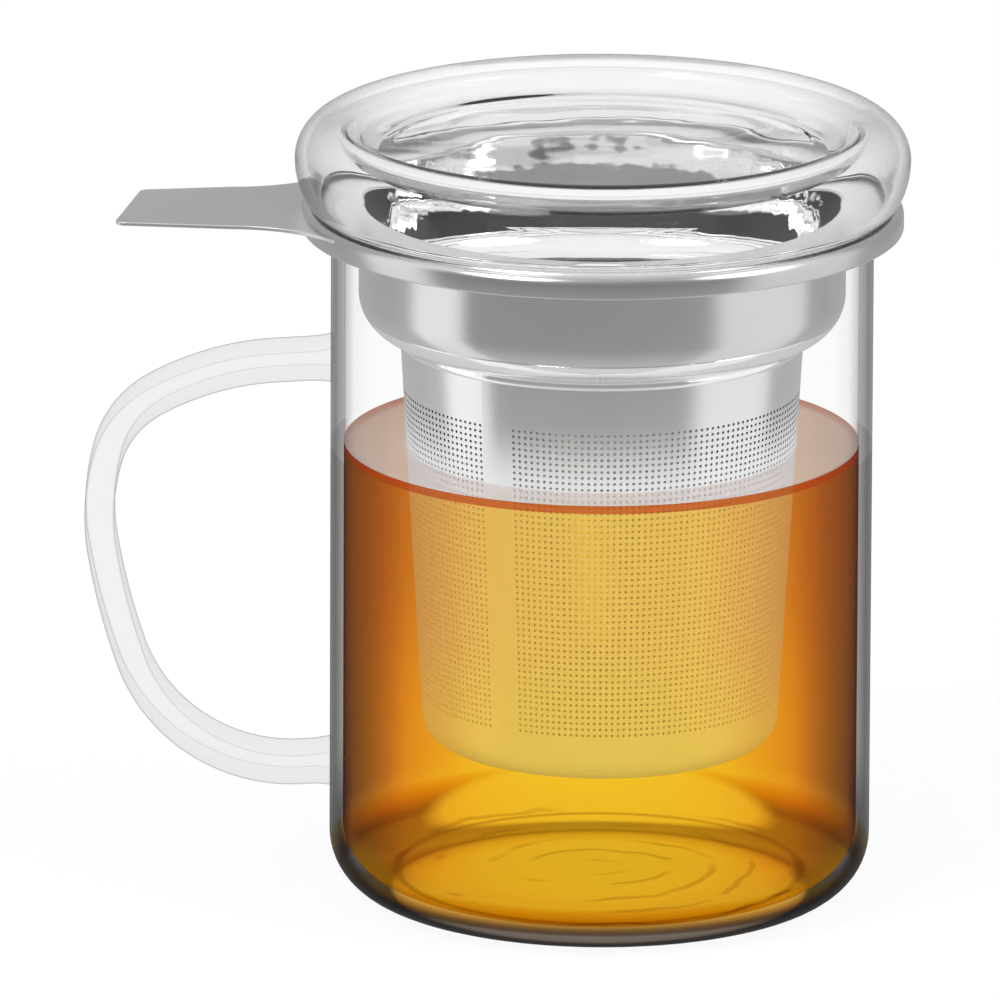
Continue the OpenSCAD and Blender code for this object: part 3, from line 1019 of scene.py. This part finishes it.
# ---------------------------------------------------------------- stage
WHITE = 1.0                 # the backdrop, as the eye sees it
AMBIENT = 0.9               # the light that it throws on the object
GLASS_WALLS_CROSSED = 4     # up to this many, light mirrored inside glass shows the backdrop

# The studio that metal and glass mirror: greys by degrees round the upright axis, which are 180
# behind the object and 0 at the camera, and the share of CEILING from straight down to straight up
STUDIO_AROUND = [(-180, 0.45), (-125, 0.45), (-106, 0.50), (-98, 1.15), (-74, 1.15), (-66, 0.33),
                 (0, 0.30), (50, 0.34), (62, 0.95), (108, 0.95), (118, 0.45), (180, 0.45)]
STUDIO_UP = [(0.0, 0.75), (0.45, 0.0), (0.75, 0.15), (1.0, 0.9)]
CEILING = 0.8

STAGE_HALF = 6.0
STAGE_DROP = 0.02 * MM
STAGE_GREY = 0.86
STAGE_GLOW = 1.04
STAGE_GLOW_SHARE = 0.72     # the rest is paint, which takes the shadow

LAMP_TARGET = (0, 0, 0.05)
LAMP_SIZE = 0.9
# Name, place and power in watts
LAMPS = (("key", (-0.9, -1.0, 1.3), 9.0), ("fill", (1.1, -0.6, 0.9), 5.0))


def studio_pattern(tree, direction):
    """Brightness of the studio by direction: dim behind the camera, a tall soft box at each side,
    a grey backdrop, and pale above and below."""
    split = tree.nodes.new("ShaderNodeSeparateXYZ")
    tree.links.new(direction, split.inputs[0])
    angle = math_node(tree, "ARCTAN2", split.outputs["X"], times(tree, split.outputs["Y"], -1.0))
    around = ramp(tree, [((degrees + 180) / 360, shade) for degrees, shade in STUDIO_AROUND],
                  share_of(tree, angle, -math.pi, math.pi))
    up = ramp(tree, STUDIO_UP, share_of(tree, split.outputs["Z"], -1.0, 1.0))
    return mix_colour(tree, up, around, CEILING)


def seen_directly(tree, path):
    """1 for what the eye sees, also through glass."""
    return math_node(tree, "MAXIMUM", path.outputs["Is Camera Ray"],
                     path.outputs["Is Transmission Ray"])


def build_world():
    """White to the eye and through glass, a soft light on matt surfaces, and the studio in
    whatever metal or glass mirrors."""
    world = bpy.data.worlds.new("studio")
    bpy.context.scene.world = world
    world.use_nodes = True
    tree = world.node_tree
    tree.nodes.clear()
    path = tree.nodes.new("ShaderNodeLightPath")
    where = tree.nodes.new("ShaderNodeTexCoord")
    few_walls = math_node(tree, "LESS_THAN", path.outputs["Transmission Depth"],
                          GLASS_WALLS_CROSSED + 0.5)
    within_glass = times(tree, path.outputs["Is Transmission Ray"], few_walls)
    reflected = times(tree, greater(tree, path.outputs["Glossy Depth"]),
                      math_node(tree, "SUBTRACT", 1.0, within_glass))
    plain = mix_colour(tree, seen_directly(tree, path), AMBIENT, WHITE)
    background = tree.nodes.new("ShaderNodeBackground")
    tree.links.new(mix_colour(tree, reflected, plain,
                              studio_pattern(tree, where.outputs["Generated"])),
                   background.inputs["Color"])
    out = tree.nodes.new("ShaderNodeOutputWorld")
    tree.links.new(background.outputs[0], out.inputs["Surface"])


def build_floor():
    """A pale floor that is nearly white to the eye and keeps a faint shadow. Reflections in the
    metal and glass look through it to the studio."""
    half = STAGE_HALF
    verts = [(-half, -half, 0), (half, -half, 0), (half, half, 0), (-half, half, 0)]
    floor = make_object("floor", verts, [[0, 1, 2, 3]])
    floor.location.z = -STAGE_DROP
    material, tree = new_material("floor_white")
    path = tree.nodes.new("ShaderNodeLightPath")
    glow = node(tree, "ShaderNodeEmission", Color=(*grey(WHITE), 1), Strength=STAGE_GLOW)
    paint = node(tree, "ShaderNodeBsdfDiffuse", Color=(*grey(STAGE_GREY), 1))
    share = times(tree, seen_directly(tree, path), STAGE_GLOW_SHARE)
    shown = mix_shader(tree, share, paint.outputs["BSDF"], glow.outputs["Emission"])
    output(tree, mix_shader(tree, greater(tree, path.outputs["Glossy Depth"]), shown,
                            see_through(tree)))
    floor.data.materials.append(material)


def build_lamp(name, place, power):
    data = bpy.data.lights.new(name, "AREA")
    data.shape = "DISK"
    data.size = LAMP_SIZE
    data.energy = power
    lamp = bpy.data.objects.new(name, data)
    bpy.context.scene.collection.objects.link(lamp)
    lamp.location = place
    aim = Vector(LAMP_TARGET) - Vector(place)
    lamp.rotation_euler = aim.to_track_quat("-Z", "Y").to_euler()


# ---------------------------------------------------------------- camera
ELEVATION = 15.0            # degrees above level, as in the photograph
ROLL = 0.25                 # degrees
DISTANCE = 3.5
AIM = Vector((-15.3 * MM, 0, 60.95 * MM))
# Photograph's scale: pixels of a 1000 pixel frame for each metre at the mug's axis
PIXELS_PER_METRE = 6604.0
FRAME_PIXELS = 1000.0
SENSOR = 36.0
FAR_CLIP = 50


def build_camera():
    data = bpy.data.cameras.new("camera")
    camera = bpy.data.objects.new("camera", data)
    bpy.context.scene.collection.objects.link(camera)
    data.sensor_width = SENSOR
    data.lens = PIXELS_PER_METRE * SENSOR / FRAME_PIXELS * DISTANCE
    data.clip_end = FAR_CLIP
    e = math.radians(ELEVATION)
    back = Vector((0, -math.cos(e), math.sin(e)))
    place = Matrix.Translation(AIM + back * DISTANCE)
    look = (-back).to_track_quat("-Z", "Y").to_matrix().to_4x4()
    camera.matrix_world = place @ look @ Matrix.Rotation(math.radians(ROLL), 4, "Z")
    bpy.context.scene.camera = camera


# ---------------------------------------------------------------- assembly
# Greys of the steel, and the least and most of its roughness
FLANGE_STEEL = (0.64, 0.16, 0.26)
# The flange's top is a paler copy of its steel, painted light
FLANGE_TOP_PAINTED_LIGHT_STEEL = (0.86, 0.22, 0.32)
TAB_STEEL = (0.72, 0.30, 0.40)
COLLAR_STEEL = (0.74, 0.14, 0.22)
BASKET_STEEL = (0.86, 0.16, 0.24)
# The basket's inner skin and holes' walls: a darker steel, painted shade
BASKET_INNER_SHADED_STEEL = (0.26, 0.35, 0.45)
# Where the basket turns matt: from this height, wholly by that one, and by how much
BASKET_MATT = (81 * MM, 69 * MM, 0.88)
# Lower down, the inner skin turns a pale matt grey, painted light where it is seen through the tea
BASKET_INNER_MATT = (76 * MM, 66 * MM, 1.0)
BASKET_INNER_PAINTED_LIGHT_GREY = 0.88
INSIDE_REACH = 0.15 * MM    # how far out from the cup's inner face its inside look goes


def dress(obj, materials, body, slot, *nodes):
    """Gives a piece its looks, and says which body it rides on and which CAD nodes it shows."""
    for material in materials:
        obj.data.materials.append(material)
    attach(obj, body)
    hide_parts(*nodes)


def build_object():
    flange = (steel("flange_satin_steel", *FLANGE_STEEL),
              steel("flange_top_painted_light_steel", *FLANGE_TOP_PAINTED_LIGHT_STEEL))
    tab = steel("tab_satin_steel", *TAB_STEEL)
    collar = steel("collar_satin_steel", *COLLAR_STEEL,
                   polished_within=COLLAR_R - SHEET_T + INSIDE_REACH)
    basket = steel("basket_satin_steel", *BASKET_STEEL, matt_below=BASKET_MATT)
    basket_inner = steel("basket_inner_shade_and_light_steel", *BASKET_INNER_SHADED_STEEL, matt_below=BASKET_INNER_MATT,
                         matt=BASKET_INNER_PAINTED_LIGHT_GREY)
    handle = (handle_glass("handle_clear_glass", HANDLE_BROAD),
              handle_glass("handle_edge_shade_glass", HANDLE_CORNER_SHADE))

    dress(build_mug(), (mug_glass(), mug_inner_glass()), "mug", "mug_glass", "mug_body")
    dress(build_handle(), handle, "mug", "handle_glass", "mug_handle")
    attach(dress_tea(build_tea()), "mug")
    dress(build_flange(), flange, "infuser", "flange_steel", "infuser_flange")
    dress(build_tab(), (tab,), "infuser", "tab_steel", "lift_tab")
    dress(build_collar(), (collar,), "infuser", "collar_steel", "infuser_collar")
    dress(build_bead(), (collar,), "infuser", "collar_steel", "joint_bead")
    for sector in range(HOLE_SECTORS):
        dress(build_basket_sector(sector), (basket, basket_inner), "infuser", "basket_steel",
              "basket_wall")
    dress(build_basket_base(), (basket,), "infuser", "basket_steel", "basket_base")
    dress(build_lid(), (lid_glass(),), "lid", "lid_glass", "lid")


bpy.context.scene.view_settings.view_transform = "Standard"
build_object()
build_world()
build_floor()
for lamp in LAMPS:
    build_lamp(*lamp)
build_camera()
